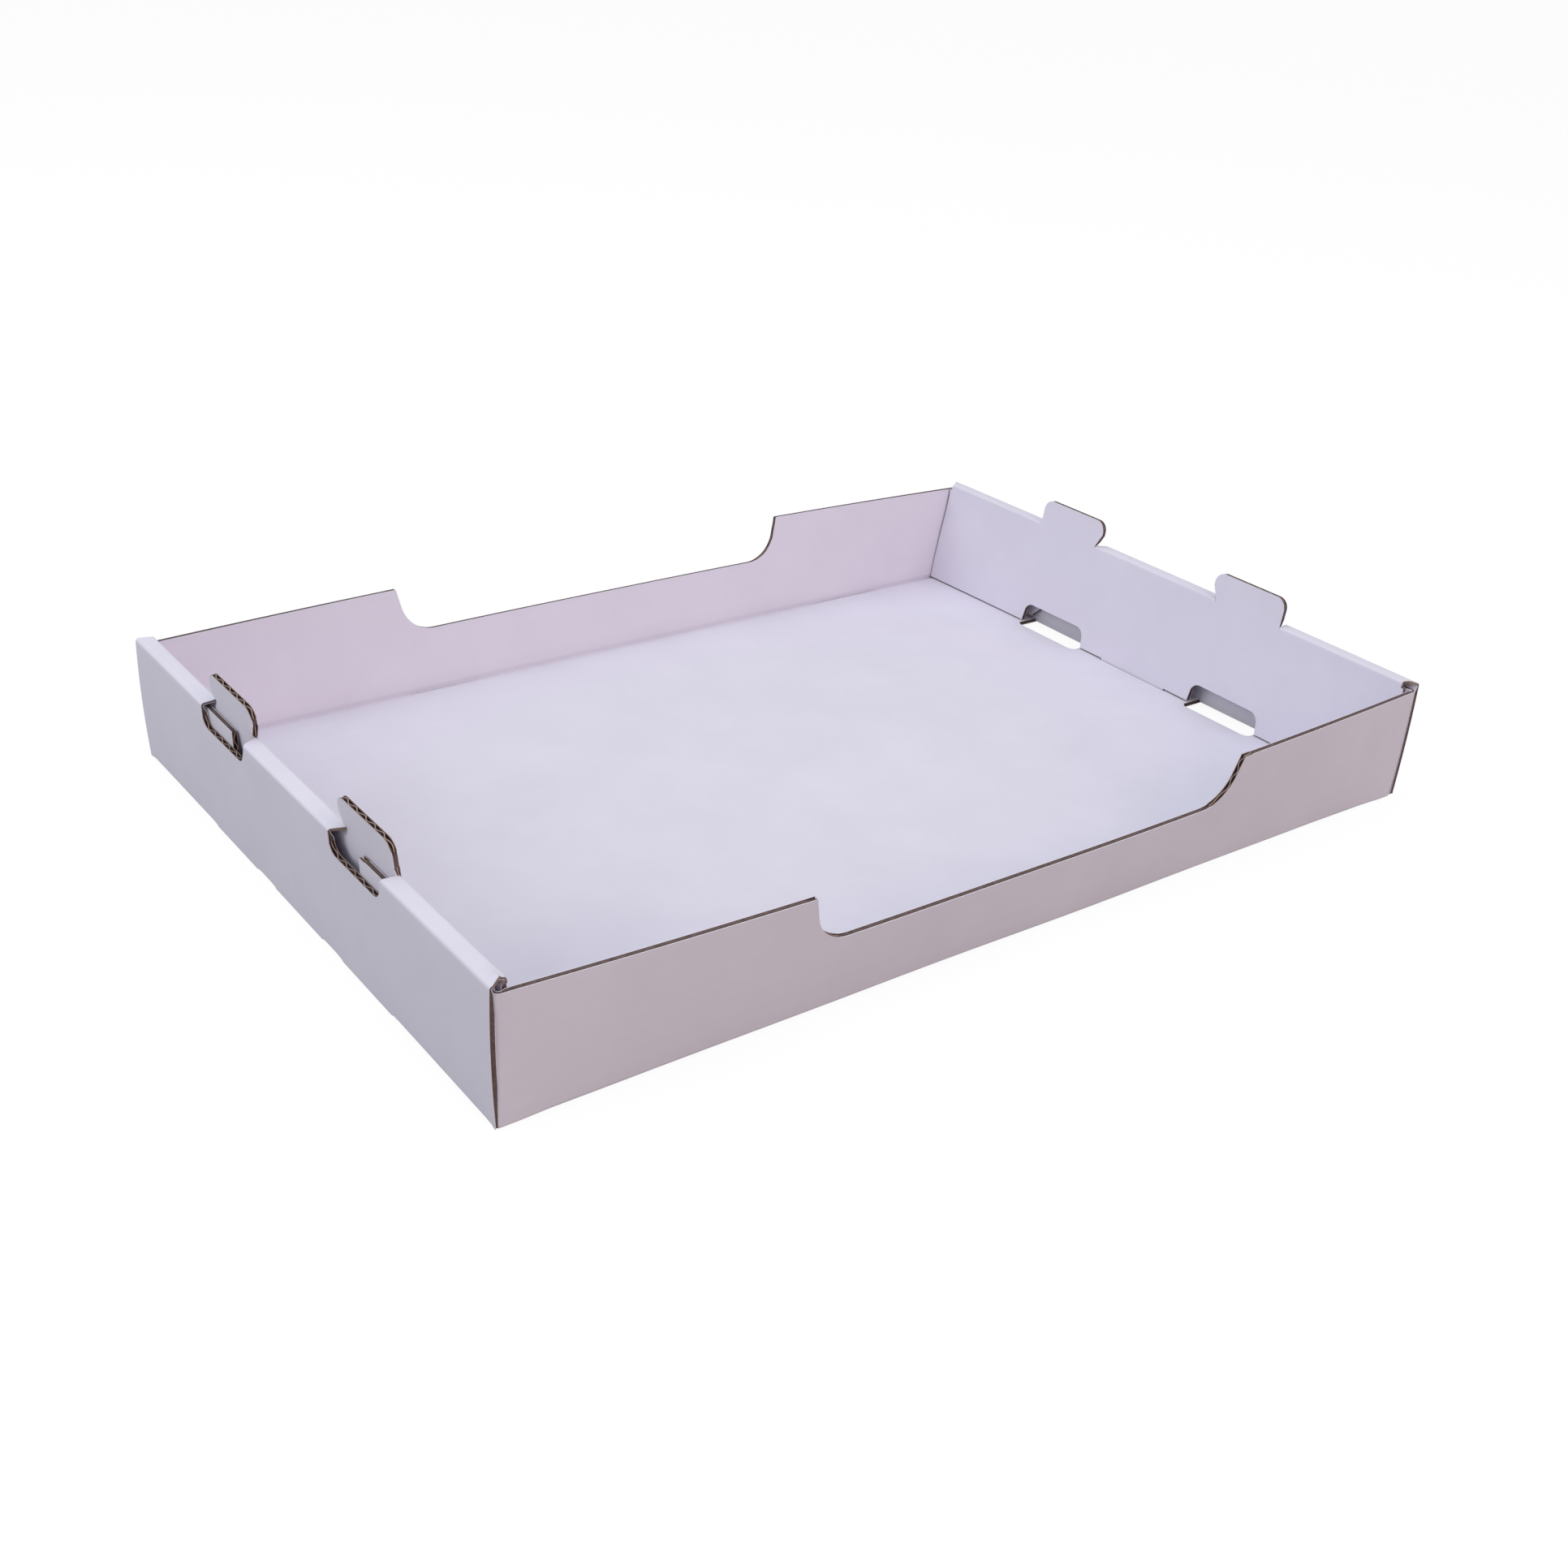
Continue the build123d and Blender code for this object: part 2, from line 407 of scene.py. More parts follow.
def wall_chain(u, v):
    """Long walls and their corner flaps, folded up from the floor and round the corners."""
    rise = np.abs(v) - floor_half
    past = np.abs(u) - wall_end
    along = np.minimum(np.abs(u), wall_end)
    foot_round = wall_round - (wall_round - pinched_round) * smooth(1 + past / pinch_reach)
    inward, z = fold(np.clip(rise / wall_quarter, 0, 1), wall_round, foot_round, math.pi / 2)
    z += np.maximum(rise - wall_quarter, 0)
    share = z / side_height
    corner_round = pinched_round + (bend - pinched_round) * smooth(share)
    along_corner, back = fold(np.clip(past / quarter, 0, 1), bend, corner_round, math.pi / 2)
    x = along + bend + along_corner
    y = half_width + inward + np.minimum(rise, 0) - back - np.maximum(past - quarter, 0)
    bow = np.where(v > 0, far_bow, near_bow)
    lean = np.where(v > 0, far_lean, near_lean)
    y += share * (bow * (1 - (along / wall_end) ** 2) + lean)
    x += by_end(u, leans) * z / end_height * along / wall_end
    cover = by_end(u, cover_lows) + (by_end(u, cover_highs) - by_end(u, cover_lows)) * share
    cover -= by_end(u, cover_dips) * 4 * share * (1 - share)
    over = smooth(1 + past / cover_start) * smooth((quarter + cover_fade - past) / cover_fade)
    x += cover * over * smooth(rise / cover_rise)
    return settled(np.sign(u) * x, np.sign(v) * y, z)


def foot_press(u, v):
    """How far the board is pressed along the feet of the long walls, from 0 to 1."""
    rise = np.abs(v) - floor_half
    gap = np.maximum(-rise, rise - wall_quarter)
    return smooth(1 - gap / foot_ramp) * smooth(1 - (np.abs(u) - wall_end) / foot_ramp)


def end_board(u, v):
    """Thickness of the floor, pressed thin at the long walls, the outer panels and the top strips."""
    strip_start = by_end(u, {sign: path.breaks[3] for sign, path in paths.items()})
    strip = board - (board - strip_board) * smooth(1 + (np.abs(u) - strip_start) / strip_ramp)
    return np.minimum(strip, board - (board - crease_board) * foot_press(u, v))


def inner_board(sign):
    """Thickness of an inner panel, pressed thin along its fold but not in its tabs."""
    fold_end = paths[sign].breaks[6]

    def thickness(u, v):
        across = np.abs(v)
        gap = np.maximum(tab_centre_side + tab_hook - across, across - tab_outer_side)
        along_fold = smooth(1 + gap / crease_ramp)
        near_fold = smooth(1 - np.abs(np.abs(u) - fold_end) / strip_ramp)
        return board - (board - strip_board) * along_fold * near_fold

    return thickness


def wall_board(u, v):
    """Thickness of a long wall and its flaps, pressed thin at the foot and in the corner folds."""
    rise = smooth((np.abs(v) - floor_half - crease_ramp) / crease_ramp)
    past = np.abs(u) - wall_end
    gap = np.maximum(-past, past - quarter)
    press = np.maximum(rise * smooth(1 - gap / crease_ramp), foot_press(u, v))
    return board - (board - crease_board) * press


def normals(chain, u, v):
    """Unit normals of a folded surface, on the side of the inside liner."""
    along = chain(u + probe, v) - chain(u - probe, v)
    across = chain(u, v + probe) - chain(u, v - probe)
    normal = np.cross(along, across)
    return normal / np.linalg.norm(normal, axis=1, keepdims=True)


def ripple(u, v):
    """Gentle unevenness of the sheet, fading out towards the ends and always lifting the floor."""
    fade = np.clip((wall_end - ripple_clear - np.abs(u)) / ripple_fade, 0, 1)
    wave = np.sin(u / wave_along + sway * np.sin(v / sway_across)) * np.cos(v / wave_across + wave_phase)
    wave += short_share * np.sin(u / short_along + v / short_across + short_phase)
    return ripple_height * fade * (wave + ripple_base)


def place(chain, thickness, u, v, w):
    """Points of the folded sheet, w being 1 on the inside liner and -1 on the outside one."""
    normal = normals(chain, u, v)
    lift = ripple(u, v) * fade_off_floor(v) + thickness(u, v) * (w + 1) / 2
    return (chain(u, v) + normal * lift[:, None] + (frame_shift, 0, 0)) * MM


def fade_off_floor(v):
    """One on the floor, and less and less up the long walls."""
    return np.clip(1 - (np.abs(v) - floor_half) / rim_fade, rim_share, 1)


def corner_arc(before, corner, after, radius):
    """Points of the arc that rounds one corner of a flat outline."""
    corner = np.array(corner)
    to_before = np.array(before) - corner
    to_after = np.array(after) - corner
    to_before /= np.linalg.norm(to_before)
    to_after /= np.linalg.norm(to_after)
    opening = math.acos(np.clip(to_before @ to_after, -1, 1))
    trim = radius / math.tan(opening / 2)
    middle = to_before + to_after
    centre = corner + middle / np.linalg.norm(middle) * radius / math.sin(opening / 2)
    first = corner + to_before * trim - centre
    last = corner + to_after * trim - centre
    sweep = math.pi - opening
    count = max(2, math.ceil(radius * sweep / arc_step))
    turn = np.sign(first[0] * last[1] - first[1] * last[0])
    angles = math.atan2(first[1], first[0]) + turn * sweep * np.linspace(0, 1, count + 1)
    return [centre + radius * np.array([math.cos(a), math.sin(a)]) for a in angles]


def rounded(corners):
    """Closed flat outline from (u, v) or (u, v, radius) corners, divided finely enough for the flutes."""
    points = []
    for i, corner in enumerate(corners):
        if len(corner) == 2 or corner[2] == 0:
            points.append(np.array(corner[:2], float))
        else:
            after = corners[(i + 1) % len(corners)]
            points += corner_arc(corners[i - 1][:2], corner[:2], after[:2], corner[2])
    outline = []
    for start, end in zip(points, points[1:] + points[:1]):
        reach = np.abs(end - start)
        count = max(1, math.ceil(max(reach[0] / step_along, reach[1] / step_across) - count_slack))
        outline += [start + (end - start) * i / count for i in range(count)]
    return outline


def mirrored(corners, axis):
    """The same corners on the other side of the sheet, in the order that keeps the outline turning left."""
    flip = [-1 if axis == i else 1 for i in range(2)]
    return [(c[0] * flip[0], c[1] * flip[1], *c[2:]) for c in reversed(corners)]


def inside(points, outline):
    """Which points lie inside a closed outline."""
    points = np.asarray(points)
    result = np.zeros(len(points), bool)
    ends = np.roll(outline, -1, axis=0)
    for (u0, v0), (u1, v1) in zip(outline, ends):
        if v0 == v1:
            continue
        crosses = (v0 > points[:, 1]) != (v1 > points[:, 1])
        at = u0 + (points[:, 1] - v0) * (u1 - u0) / (v1 - v0)
        result ^= crosses & (points[:, 0] < at)
    return result


def grid_points(loops):
    """Evenly spread points inside the first outline, clear of every outline."""
    outline = np.array(loops[0])
    low = outline.min(axis=0)
    high = outline.max(axis=0)
    us = np.arange(low[0] + grid_step / 2, high[0], grid_step)
    vs = np.arange(low[1] + grid_step / 2, high[1], grid_step)
    points = np.array([(u, v) for u in us for v in vs])
    keep = inside(points, outline)
    for loop in loops:
        for start in range(0, len(points), grid_block):
            gaps = points[start:start + grid_block, None] - np.array(loop)[None]
            nearest = np.min(np.hypot(gaps[..., 0], gaps[..., 1]), axis=1)
            keep[start:start + grid_block] &= nearest > grid_margin
    for hole in loops[1:]:
        keep &= ~inside(points, np.array(hole))
    return points[keep]


def triangulate(loops, lines):
    """Triangles of a flat outline with holes, with an edge along each bend line."""
    points = []
    edges = []
    for loop in loops:
        first = len(points)
        points += [tuple(p) for p in loop]
        edges += [(first + i, first + (i + 1) % len(loop)) for i in range(len(loop))]
    for line in lines:
        first = len(points)
        points += [tuple(p) for p in line]
        edges += [(first + i, first + i + 1) for i in range(len(line) - 1)]
    points += [tuple(p) for p in grid_points(loops)]
    found = delaunay_2d_cdt([Vector(p) for p in points], edges, [], 0, point_slack)
    flat = np.array([tuple(p) for p in found[0]])
    faces = np.array([tuple(f) for f in found[2]])
    middles = flat[faces].mean(axis=1)
    keep = inside(middles, np.array(loops[0]))
    for hole in loops[1:]:
        keep &= ~inside(middles, np.array(hole))
    faces = faces[keep]
    a, b, c = (flat[faces[:, i]] for i in range(3))
    area = (b[:, 0] - a[:, 0]) * (c[:, 1] - a[:, 1]) - (b[:, 1] - a[:, 1]) * (c[:, 0] - a[:, 0])
    faces[area < 0] = faces[area < 0][:, ::-1]
    faces = faces[np.abs(area) > least_area]
    return flat, faces


def boundary_loops(faces):
    """Loops of vertices round the triangles, with the sheet on their left."""
    directed = set()
    for face in faces:
        for i in range(3):
            directed.add((int(face[i]), int(face[(i + 1) % 3])))
    following = {a: b for a, b in directed if (b, a) not in directed}
    loops = []
    while following:
        start = next(iter(following))
        loop = [start]
        here = following.pop(start)
        while here != start:
            loop.append(here)
            here = following.pop(here)
        loops.append(loop)
    return loops


def cut_runs(loop, flat, joined):
    """Runs of a boundary loop that are cut edges, each with whether it closes on itself."""
    count = len(loop)
    is_joint = [joined(flat[loop[i]], flat[loop[(i + 1) % count]]) for i in range(count)]
    if not any(is_joint):
        return [(loop, True)]
    start = next(i for i in range(count) if is_joint[i - 1] and not is_joint[i])
    runs = []
    run = []
    for k in range(count):
        i = (start + k) % count
        if is_joint[i]:
            if run:
                runs.append((run + [loop[i]], False))
            run = []
        else:
            run.append(loop[i])
    if run:
        runs.append((run + [loop[start]], False))
    return runs


# The sheet's materials by number, and those of the strips of a cut edge, from the inside liner to the
# outside one, where the edge crosses the flutes and where it runs along them
LINER = 0
# Kraft of the flute hollows, its brown darkened by painted shade of the hollows
CORE_WITH_PAINTED_SHADE = 1
CUT = 2
ACROSS_FLUTES = (CUT, CORE_WITH_PAINTED_SHADE, CORE_WITH_PAINTED_SHADE, CORE_WITH_PAINTED_SHADE, CUT, CORE_WITH_PAINTED_SHADE, CORE_WITH_PAINTED_SHADE, CORE_WITH_PAINTED_SHADE, CUT)
ALONG_FLUTES = (LINER, CORE_WITH_PAINTED_SHADE, CORE_WITH_PAINTED_SHADE, CORE_WITH_PAINTED_SHADE, CORE_WITH_PAINTED_SHADE, CORE_WITH_PAINTED_SHADE, CORE_WITH_PAINTED_SHADE, CORE_WITH_PAINTED_SHADE, LINER)


class Sheet:
    """Collects the panels of the sheet as one mesh."""

    def __init__(self):
        self.points = []
        self.flat = []
        self.faces = []
        self.materials = []
        self.soft = []

    def add_points(self, chain, thickness, flat, w):
        """Folds up points of the flat sheet and returns their numbers in the mesh."""
        first = sum(len(p) for p in self.points)
        self.points.append(place(chain, thickness, flat[:, 0], flat[:, 1], w))
        self.flat.append(flat)
        return first + np.arange(len(flat))

    def add_face(self, face, material, soft):
        """Adds one face, softly shaded or flat."""
        self.faces.append([int(i) for i in face])
        self.materials.append(material)
        self.soft.append(soft)

    def panel(self, chain, thickness, loops, lines, joined):
        """One stretch of the sheet: both liners, and a fluted strip along each cut edge."""
        flat, triangles = triangulate(loops, lines)
        used = np.unique(triangles)
        renumber = np.full(len(flat), -1)
        renumber[used] = np.arange(len(used))
        flat = flat[used]
        triangles = renumber[triangles]
        top = self.add_points(chain, thickness, flat, np.ones(len(flat)))
        bottom = self.add_points(chain, thickness, flat, -np.ones(len(flat)))
        for a, b, c in triangles:
            self.add_face((top[a], top[b], top[c]), LINER, True)
            self.add_face((bottom[c], bottom[b], bottom[a]), LINER, True)
        for loop in boundary_loops(triangles):
            for run, closed in cut_runs(loop, flat, joined):
                self.cut_edge(chain, thickness, flat[run], top[run], bottom[run], closed)

    def cut_edge(self, chain, thickness, flat, top, bottom, closed):
        """The cut edge of the board: both liners, the fluting paper and the hollows between them."""
        ahead = np.roll(flat, -1, axis=0) - flat
        behind = flat - np.roll(flat, 1, axis=0)
        if not closed:
            ahead[-1] = behind[-1]
            behind[0] = ahead[0]
        ahead /= np.linalg.norm(ahead, axis=1, keepdims=True)
        behind /= np.linalg.norm(behind, axis=1, keepdims=True)
        tangent = ahead + behind
        tangent /= np.linalg.norm(tangent, axis=1, keepdims=True)
        inward = np.stack([-tangent[:, 1], tangent[:, 0]], axis=1)
        crossing = np.abs(tangent[:, 1])
        half_board = thickness(flat[:, 0], flat[:, 1]) / 2
        half_medium = medium / 2 / half_board
        high = 1 - liner / half_board
        depth = pocket_along + (pocket_depth - pocket_along) * crossing
        swing = (high - half_medium - flute_gap) * crossing
        crush = np.sin(flat[:, 1] * crush_across + flat[:, 0] * crush_along)
        swing *= 1 - crush_share + crush_share * crush
        wave = swing * np.sin(2 * math.pi * flat[:, 1] / flute_pitch)
        recess = medium_recess * (recess_along + (1 - recess_along) * crossing)
        if not closed:
            for end in (0, -1):
                depth[end] = recess[end] = wave[end] = 0
        none = np.zeros(len(flat))
        levels = [
            (none, high), (depth, high), (depth, wave + half_medium), (recess, wave + half_medium),
            (recess, wave - half_medium), (depth, wave - half_medium), (depth, -high), (none, -high),
        ]
        rings = [top]
        for back, w in levels:
            rings.append(self.add_points(chain, thickness, flat + inward * back[:, None], w))
        rings.append(bottom)
        last = len(flat) if closed else len(flat) - 1
        for upper, lower, across, along in zip(rings, rings[1:], ACROSS_FLUTES, ALONG_FLUTES):
            for i in range(last):
                j = (i + 1) % len(flat)
                material = across if crossing[i] > least_crossing else along
                self.add_face((upper[j], upper[i], lower[i], lower[j]), material, False)

    def build(self, name, materials):
        """The panels as one mesh object, its UV map holding each point's place in the flat sheet."""
        mesh = bpy.data.meshes.new(name)
        mesh.from_pydata(np.concatenate(self.points).tolist(), [], self.faces)
        mesh.polygons.foreach_set("material_index", self.materials)
        mesh.polygons.foreach_set("use_smooth", self.soft)
        flat = np.concatenate(self.flat) * MM
        corners = np.empty(len(mesh.loops), np.int64)
        mesh.loops.foreach_get("vertex_index", corners)
        layer = mesh.uv_layers.new(name="flat")
        layer.data.foreach_set("uv", flat[corners].astype(np.float32).ravel())
        for material in materials:
            mesh.materials.append(material)
        work = bmesh.new()
        work.from_mesh(mesh)
        bmesh.ops.remove_doubles(work, verts=work.verts, dist=merge_distance)
        bmesh.ops.dissolve_degenerate(work, edges=work.edges, dist=merge_distance)
        for edge in work.edges:
            edge.smooth = all(face.smooth for face in edge.link_faces)
        work.to_mesh(mesh)
        work.free()
        piece = bpy.data.objects.new(name, mesh)
        bpy.context.collection.objects.link(piece)
        return piece


def outer_height(path, height):
    """Distance along an end path at which its outer panel reaches a height."""
    start, point, heading = path.runs[2][:3]
    return start + (height - point[1]) / math.sin(heading)


def window_corners(path, low_inset, high_inset):
    """Cut in an end of the flat sheet round its far stacking tab, from inner fold to sill and back."""
    crest_start, strip_start, strip_stop, fold_end = path.breaks[3:7]
    sill = outer_height(path, end_height - strip_rise - sill_drop)
    root = tab_centre_side + tab_hook - cut_clearance
    low = tab_centre_side - cut_clearance
    high = tab_outer_side + cut_clearance
    return [
        (fold_end, root), (strip_stop, root, root_radius), (crest_start, low, shoulder_radius),
        (sill, low + low_inset, tab_radius), (sill, high - high_inset, tab_radius), (fold_end, high),
    ]


def end_corners(sign):
    """Outline of one end of the sheet, from one corner of the floor round to the other."""
    path = paths[sign]
    free = free_edge(sign)
    held = corner_start - layer_gap
    half = [
        (wall_end, -floor_half), (wall_end + corner_start - held, -held), (free, -held),
        (free, -corner_reach), (outer_height(path, corner_rise), -corner_reach),
        (path.breaks[4], -corner_reach), (path.breaks[5], -strip_ends[sign]),
        (path.breaks[6], -strip_ends[sign]),
    ]
    near_window = mirrored(window_corners(path, 0, sill_inset), 1)
    corners = half + near_window + window_corners(path, sill_inset, 0) + mirrored(half, 1)
    if sign < 0:
        corners = mirrored(corners, 0)
    return corners


def slot_corners(sign, middle):
    """One stacking slot of the floor, turning left."""
    start = inner_face - slot_reach
    end = free_edge(sign)
    low = middle + cut_shifts[sign] - slot_width / 2
    high = low + slot_width
    corners = [(start, low, slot_radius), (end, low), (end, high), (start, high, slot_radius)]
    return corners if sign > 0 else mirrored(corners, 0)


def lock_corners(sign):
    """The slot in the floor that the locking tab drops into."""
    start = inner_face - lock_clearance
    end = free_edge(sign)
    high = lock_width / 2 + lock_clearance + cut_shifts[sign]
    low = high - lock_width - 2 * lock_clearance
    corners = [(start, low), (end, low), (end, high), (start, high)]
    return corners if sign > 0 else mirrored(corners, 0)


def strip_levels(path):
    """Distances along an end path at which its pressed edge, top strip and two crests are divided."""
    crest_start, strip_start, strip_stop, fold_end = path.breaks[3:7]
    levels = list(np.linspace(crest_start - strip_ramp, crest_start, press_steps + 1)[:-1])
    levels += list(np.linspace(crest_start, strip_start, crest_steps + 1))
    levels.append(strip_start + roof_share * (strip_stop - strip_start))
    return levels + list(np.linspace(strip_stop, fold_end, crest_steps + 1)[:-1])


def straight(start, end, step=step_along):
    """A bend line in the flat sheet, divided along its length."""
    start = np.array(start)
    end = np.array(end)
    count = max(1, math.ceil(np.linalg.norm(end - start) / step))
    return [start + (end - start) * i / count for i in range(count + 1)]


def floor_joint(a, b):
    """Whether an edge of the flat sheet is the fold line between floor and long wall."""
    on_line = all(abs(abs(p[1]) - floor_half) < line_slack for p in (a, b))
    return on_line and all(abs(p[0]) < wall_end + line_slack for p in (a, b))


def end_joint(a, b):
    """Whether an edge of the flat sheet lies where a top strip becomes an inner panel."""
    fold_end = paths[1 if a[0] > 0 else -1].breaks[6]
    on_line = all(abs(abs(p[0]) - fold_end) < line_slack for p in (a, b))
    middle = abs((a[1] + b[1]) / 2)
    root = tab_centre_side + tab_hook - cut_clearance
    return on_line and not root < middle < tab_outer_side + cut_clearance


def add_floor_and_ends(sheet):
    """Floor, outer end panels and top strips, the part of the sheet bent about lines across the tray."""
    outline = rounded(end_corners(1) + end_corners(-1))
    holes = [slot_corners(sign, middle) for sign in (1, -1) for middle in (-tab_offset, tab_offset)]
    holes += [lock_corners(1), lock_corners(-1)]
    loops = [outline] + [rounded(hole) for hole in holes]
    reach = half_width + overshoot
    lines = []
    for sign, path in paths.items():
        for s in np.linspace(path.breaks[1], path.breaks[2], bend_steps + 1):
            lines.append(straight((sign * s, -reach), (sign * s, reach), foot_step))
        for s in strip_levels(path):
            lines.append(straight((sign * s, -reach), (sign * s, reach)))
        for s in np.linspace(floor_half - foot_ramp, floor_half, press_steps + 1)[:-1]:
            lines.append(straight((-wall_end, sign * s), (wall_end, sign * s)))
    sheet.panel(end_chain, end_board, loops, lines, lambda a, b: floor_joint(a, b) or end_joint(a, b))


def notch_corners(foot, middle):
    """One notch in the foot of an inner panel."""
    return [
        (foot - foot_lift, middle - notch_foot / 2),
        (foot - notch_height, middle - notch_top / 2, notch_radius),
        (foot - notch_height, middle + notch_top / 2, notch_radius),
        (foot - foot_lift, middle + notch_foot / 2),
    ]


def tab_corners(fold_end, fold_line):
    """The far stacking tab above the fold of an inner panel, from its outer side to its hooked root."""
    root = tab_centre_side + tab_hook
    top = fold_line - tab_height
    return [
        (fold_end, tab_outer_side + cut_clearance), (fold_end - cut_clearance, tab_outer_side),
        (top, tab_outer_side, tab_radius), (top, tab_centre_side, tab_radius),
        (fold_line - tab_flare, tab_centre_side, hook_radius), (fold_line, root, hook_radius),
        (fold_end - cut_clearance, root), (fold_end, root - cut_clearance),
    ]


def add_inner_panel(sheet, sign):
    """One inner end panel with its stacking tabs, notches and locking tab."""
    path = paths[sign]
    fold_end, foot = path.breaks[6:8]
    inner_fold = np.array([half_length + leans[sign] - strip_width, end_height])
    panel_foot = np.array([inner_face, board + foot_gap])
    fold_line = foot - np.linalg.norm(inner_fold - panel_foot)
    share = (inner_fold[1] - side_height - side_gap) / (inner_fold[1] - panel_foot[1])
    step = fold_line + (foot - fold_line) * share
    tongue = foot + board
    shift = cut_shifts[sign]
    edge = foot - foot_lift
    lock_low = shift - lock_width / 2
    lock_high = shift + lock_width / 2
    top_half = strip_ends[sign]
    corners = [(edge, -panel_half)] + notch_corners(foot, shift - tab_offset)
    corners += [(edge, lock_low), (tongue, lock_low, lock_radius)]
    corners += [(tongue, lock_high, lock_radius), (edge, lock_high)]
    corners += notch_corners(foot, shift + tab_offset) + [(edge, panel_half)]
    corners += [(step, panel_half), (step, top_half), (fold_end, top_half)]
    tab = tab_corners(fold_end, fold_line)
    corners += tab + mirrored(tab, 1)
    corners += [(fold_end, -top_half), (step, -top_half), (step, -panel_half)]
    lines = []
    for s in np.linspace(fold_end, fold_end + strip_ramp, press_steps + 1)[1:]:
        lines.append(straight((s, -panel_half), (s, panel_half), root_step))
    if sign < 0:
        corners = mirrored(corners, 0)
        lines = [[point * (-1, 1) for point in line] for line in lines]
    sheet.panel(inner_chain(sign), inner_board(sign), [rounded(corners)], lines, end_joint)


def add_long_wall(sheet, sign):
    """One long wall with its lowered middle and the two flaps on its ends."""
    base = floor_half
    straight_start = base + wall_quarter - wall_round
    flap_bottom = straight_start + board + flap_lift
    rim = straight_start + side_height
    low = rim - scoop_depth
    corner_end = wall_end + quarter
    relief_start = corner_end + corner_start - relief_low
    relief_end = corner_end + corner_start - relief_top
    relief_rim = straight_start + relief_height
    flap_end = corner_end + flap_length - bend
    half = scoop_width / 2
    inset = scoop_depth * math.tan(math.radians(scoop_lean))
    right = [
        (wall_end, base), (corner_end, base + corner_cut), (corner_end, flap_bottom),
        (relief_start, flap_bottom), (relief_end, relief_rim), (flap_end, relief_rim),
        (flap_end, rim), (half, rim), (half - inset, low, scoop_radius),
    ]
    corners = right + mirrored(right, 0)
    if sign < 0:
        corners = mirrored(corners, 1)
    lines = []
    foot_levels = list(np.linspace(0, wall_quarter, bend_steps + 1)[1:])
    foot_levels += list(np.linspace(wall_quarter, wall_quarter + foot_ramp, press_steps + 1)[1:])
    for s in foot_levels:
        lines.append(straight((-corner_end, sign * (base + s)), (corner_end, sign * (base + s))))
    levels = list(np.linspace(wall_end - cover_start, wall_end, press_steps + 1)[:-1])
    levels += list(np.linspace(wall_end, corner_end, bend_steps + 1))
    levels += list(np.linspace(corner_end, corner_end + cover_fade, fade_steps + 1)[1:])
    start = sign * (base + lines_clear)
    stop = sign * (rim + overshoot)
    for at in levels:
        for side in (-1, 1):
            lines.append(straight((side * at, start), (side * at, stop)))
    sheet.panel(wall_chain, wall_board, [rounded(corners)], lines, floor_joint)


def node(tree, kind, **values):
    """A shader node with the named inputs or settings set."""
    made = tree.nodes.new(kind)
    for key, value in values.items():
        if key in made.inputs:
            made.inputs[key].default_value = value
        else:
            setattr(made, key, value)
    return made


def new_material(name, roughness, gloss):
    """A plain material, with its node tree and its shader."""
    material = bpy.data.materials.new(name)
    material.use_nodes = True
    tree = material.node_tree
    shader = tree.nodes["Principled BSDF"]
    shader.inputs["Roughness"].default_value = roughness
    shader.inputs["Specular IOR Level"].default_value = gloss
    return material, tree, shader


def mottle(tree, shader, noise, dark, light):
    """Gives a shader's colour the tones between dark and light, by a noise over the object."""
    place_in = node(tree, "ShaderNodeTexCoord")
    tree.links.new(place_in.outputs["Object"], noise.inputs["Vector"])
    tint = node(tree, "ShaderNodeValToRGB")
    for element, position, tone in zip(tint.color_ramp.elements, (0.3, 0.7), (dark, light)):
        element.position = position
        element.color = (*tone, 1)
    tree.links.new(noise.outputs["Fac"], tint.inputs["Fac"])
    tree.links.new(tint.outputs["Color"], shader.inputs["Base Color"])


def board_paper():
    """White liner: fine fibres, faint clouding and the washboard that the flutes press through it."""
    material, tree, shader = new_material("liner", 0.72, 0.3)
    flat = node(tree, "ShaderNodeUVMap", uv_map="flat")
    clouds = node(tree, "ShaderNodeTexNoise", Scale=28.0, Detail=4.0, Roughness=0.6)
    mottle(tree, shader, clouds, (0.675, 0.648, 0.745), (0.710, 0.683, 0.780))
    fibres = node(tree, "ShaderNodeTexNoise", Scale=1400.0, Detail=3.0, Roughness=0.7)
    stretch = node(tree, "ShaderNodeMapping")
    stretch.inputs["Scale"].default_value = (0.35, 1.0, 1.0)
    tree.links.new(flat.outputs["UV"], stretch.inputs["Vector"])
    tree.links.new(stretch.outputs["Vector"], fibres.inputs["Vector"])
    split = node(tree, "ShaderNodeSeparateXYZ")
    tree.links.new(flat.outputs["UV"], split.inputs["Vector"])
    phase = node(tree, "ShaderNodeMath", operation="MULTIPLY")
    phase.inputs[1].default_value = 2 * math.pi / (flute_pitch * MM)
    tree.links.new(split.outputs["Y"], phase.inputs[0])
    wave = node(tree, "ShaderNodeMath", operation="SINE")
    tree.links.new(phase.outputs[0], wave.inputs[0])
    washboard = node(tree, "ShaderNodeBump", Strength=1.0, Distance=0.012 * MM)
    tree.links.new(wave.outputs[0], washboard.inputs["Height"])
    grain = node(tree, "ShaderNodeBump", Strength=0.35, Distance=0.05 * MM)
    tree.links.new(fibres.outputs["Fac"], grain.inputs["Height"])
    tree.links.new(washboard.outputs["Normal"], grain.inputs["Normal"])
    tree.links.new(grain.outputs["Normal"], shader.inputs["Normal"])
    return material


